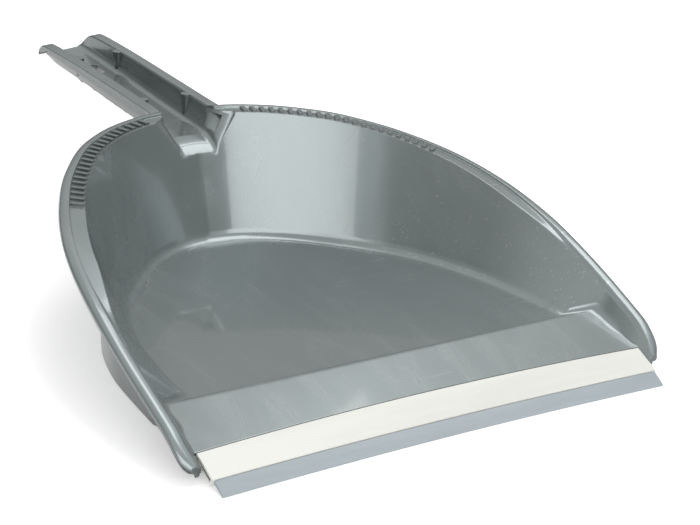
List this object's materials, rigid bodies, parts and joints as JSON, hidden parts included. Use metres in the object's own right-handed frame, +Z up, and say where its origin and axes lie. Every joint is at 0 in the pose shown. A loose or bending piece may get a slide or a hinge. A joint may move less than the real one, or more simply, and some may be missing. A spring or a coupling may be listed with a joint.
{
  "type": "dust pan",
  "caption": "Wide curved dust pan with a raised floor, channel handle with snap ribs and hang slot, comb teeth on the rim and a two-part flexible lip.",
  "frame": {"origin": "centre of the bounding box's underside, on the floor the pan rests on", "axes": "+X to the pan's right seen from behind the handle, +Y from the lip to the handle, +Z up"},
  "size_m": [0.3372, 0.5034, 0.1121],
  "materials": {
    "pan_moulding": "silver-grey pearlescent polypropylene, glossy with faint flow streaks",
    "lip_strip": "satin white rigid plastic",
    "lip_blade": "soft satin blue-grey elastomer"
  },
  "bodies": {
    "pan": {"pan_moulding": "pan_moulding", "lip_strip": "lip_strip"},
    "blade": {"lip_blade": "lip_blade"}
  },
  "joints": [
    {"name": "blade_flex", "type": "hinge", "parent": "pan", "child": "blade", "pos_m": [0, -0.24015, 0.0052], "axis": [1, 0, 0], "range_deg": [-10, 10], "stiffness_Nm_per_rad": 0.5}
  ]
}
